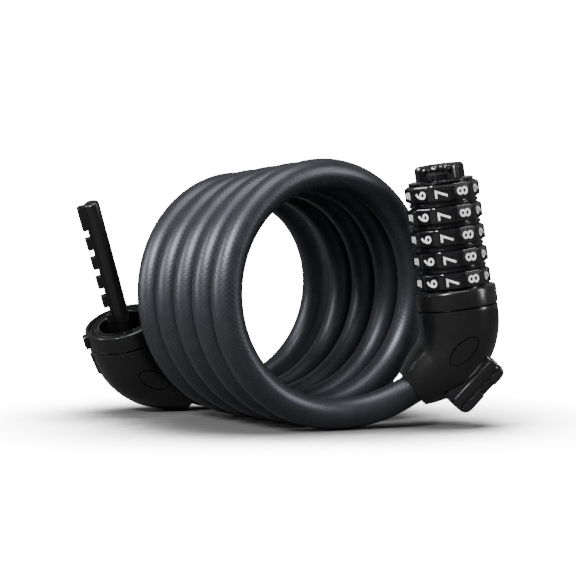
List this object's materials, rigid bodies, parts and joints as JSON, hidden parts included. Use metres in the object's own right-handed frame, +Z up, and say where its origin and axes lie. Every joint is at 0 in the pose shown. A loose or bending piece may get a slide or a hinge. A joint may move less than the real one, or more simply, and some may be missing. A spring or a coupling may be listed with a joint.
{
  "type": "coiled combination cable lock",
  "caption": "Coiled sheathed cable with a combination lock head of number dials on one end and a notched locking plug on the other.",
  "frame": {"origin": "on the floor, below the middle of the lock head and plug taken together", "axes": "+Z up, Y along the axis of the coil with the lock head at -Y, X across it"},
  "size_m": [0.1294, 0.1446, 0.1028],
  "materials": {
    "cable_sheath": "satin vinyl over braided steel",
    "housing_black": "fine moulded texture",
    "gloss_black": "polished moulding",
    "shank_black": "black coated steel",
    "steel": "machined",
    "brass": "machined"
  },
  "bodies": {
    "lock_frame": {"head_elbow": "housing_black", "head_collar": "housing_black", "head_oval_cap_left": "housing_black", "head_oval_cap_right": "housing_black", "head_cable_pin": "steel", "head_cable_core": "steel", "head_ferrule": "brass", "head_sheath_end": "cable_sheath", "plug_elbow": "housing_black", "plug_collar": "housing_black", "plug_oval_cap_left": "housing_black", "plug_oval_cap_right": "housing_black", "plug_cable_pin": "steel", "plug_cable_core": "steel", "plug_ferrule": "brass", "plug_sheath_end": "cable_sheath", "lock_spindle": "steel", "keyhole_bush": "steel", "stack_spring": "steel", "spring_seat": "steel", "lug_screw": "steel", "shank_nut": "steel", "spacer_ring_1": "gloss_black", "spacer_ring_2": "gloss_black", "spacer_ring_3": "gloss_black", "spacer_ring_4": "gloss_black", "nose_plate": "gloss_black", "bracket_lug": "gloss_black", "plug_cup": "gloss_black", "plug_shank": "shank_black", "plug_index_tab": "housing_black", "cable_coil": "cable_sheath", "cable_lead_head": "cable_sheath", "cable_lead_plug": "cable_sheath"},
    "dial_1": {"dial_1": "gloss_black", "code_ring_1": "brass"},
    "dial_2": {"dial_2": "gloss_black", "code_ring_2": "brass"},
    "dial_3": {"dial_3": "gloss_black", "code_ring_3": "brass"},
    "dial_4": {"dial_4": "gloss_black", "code_ring_4": "brass"},
    "dial_5": {"dial_5": "gloss_black", "code_ring_5": "brass"},
    "reset_knob": {"reset_knob": "gloss_black"}
  },
  "joints": [
    {"name": "dial_1_spin", "type": "hinge", "parent": "lock_frame", "child": "dial_1", "pos_m": [0.0449, -0.05612, 0.04669], "axis": [-0.1281, 0.05, 0.9905], "continuous": true},
    {"name": "dial_2_spin", "type": "hinge", "parent": "lock_frame", "child": "dial_2", "pos_m": [0.0449, -0.05612, 0.04669], "axis": [-0.1281, 0.05, 0.9905], "continuous": true},
    {"name": "dial_3_spin", "type": "hinge", "parent": "lock_frame", "child": "dial_3", "pos_m": [0.0449, -0.05612, 0.04669], "axis": [-0.1281, 0.05, 0.9905], "continuous": true},
    {"name": "dial_4_spin", "type": "hinge", "parent": "lock_frame", "child": "dial_4", "pos_m": [0.0449, -0.05612, 0.04669], "axis": [-0.1281, 0.05, 0.9905], "continuous": true},
    {"name": "dial_5_spin", "type": "hinge", "parent": "lock_frame", "child": "dial_5", "pos_m": [0.0449, -0.05612, 0.04669], "axis": [-0.1281, 0.05, 0.9905], "continuous": true},
    {"name": "reset_knob_turn", "type": "hinge", "parent": "lock_frame", "child": "reset_knob", "pos_m": [0.0449, -0.05612, 0.04669], "axis": [-0.1281, 0.05, 0.9905], "range_deg": [0, 90]}
  ]
}
